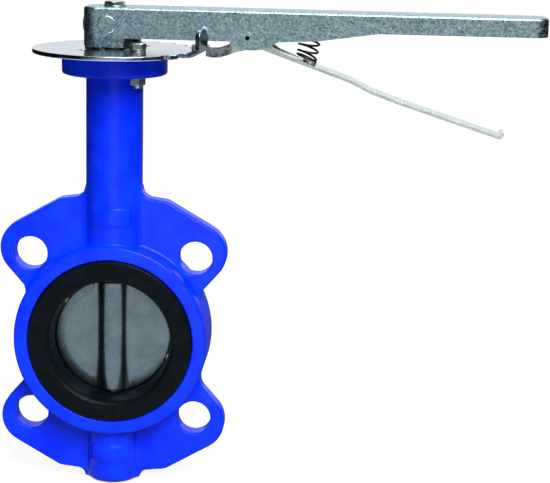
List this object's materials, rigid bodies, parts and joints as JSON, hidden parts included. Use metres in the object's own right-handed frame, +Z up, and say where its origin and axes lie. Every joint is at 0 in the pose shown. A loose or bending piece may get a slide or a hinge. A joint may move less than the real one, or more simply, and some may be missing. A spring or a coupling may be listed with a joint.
{
  "type": "wafer butterfly valve",
  "caption": "Lever-operated wafer butterfly valve with a rubber-lined bore, a turning disc, lugged ring body, notched position plate and a handle with a sprung latch trigger.",
  "frame": {"origin": "centre of the bore, where the pipe axis meets the stem axis; it is also the centre of the circle of line bolt holes", "axes": "+Z up along the stem towards the handle, +X along the closed handle, +Y along the pipe away from the side that the closed handle's stop tab is on"},
  "size_m": [0.3642, 0.1099, 0.3324],
  "materials": {
    "blue_enamel": "glossy blue enamel on cast iron",
    "black_rubber": "matt moulded rubber",
    "disc_metal": "satin machined casting",
    "stem_steel": "ground",
    "bushing_bronze": "turned",
    "zinc_sheet": "galvanised with a fine spangle",
    "hub_iron": "black cast iron",
    "zinc_plate": "smooth bright zinc plate",
    "zinc_trigger": "bright galvanised",
    "zinc_fastener": "zinc plated",
    "spring_black": "blackened spring steel"
  },
  "bodies": {
    "housing": {"valve_body": "blue_enamel", "seat_liner": "black_rubber", "upper_bushing": "bushing_bronze", "middle_bushing": "bushing_bronze", "lower_bushing": "bushing_bronze", "stem_o_rings": "black_rubber", "thrust_washers": "bushing_bronze", "retaining_circlip": "spring_black", "bottom_plug": "zinc_fastener", "bottom_plug_seal": "black_rubber", "notch_plate": "zinc_plate", "plate_bolts": "zinc_fastener", "plate_spring_washers": "zinc_fastener", "plate_nuts": "zinc_fastener"},
    "rotor": {"disc": "disc_metal", "upper_stem": "stem_steel", "lower_stem": "stem_steel", "split_ring": "stem_steel", "lever_channel": "zinc_sheet", "lever_hub": "hub_iron", "hub_rivets": "zinc_sheet", "lever_washer": "zinc_fastener", "lever_bolt": "zinc_fastener", "trigger_pin": "zinc_sheet", "trigger_spring": "spring_black"},
    "trigger": {"trigger_lever": "zinc_trigger"}
  },
  "joints": [
    {"name": "lever_turn", "type": "hinge", "parent": "housing", "child": "rotor", "pos_m": [0, 0, 0], "axis": [0, 0, 1], "range_deg": [0, 90]},
    {"name": "trigger_squeeze", "type": "hinge", "parent": "rotor", "child": "trigger", "pos_m": [0.0895, 0, 0.2078], "axis": [0, -1, 0], "range_deg": [0, 18], "stiffness_Nm_per_rad": 0.9, "springref_deg": -20.05, "deforming": ["trigger_spring"]}
  ]
}
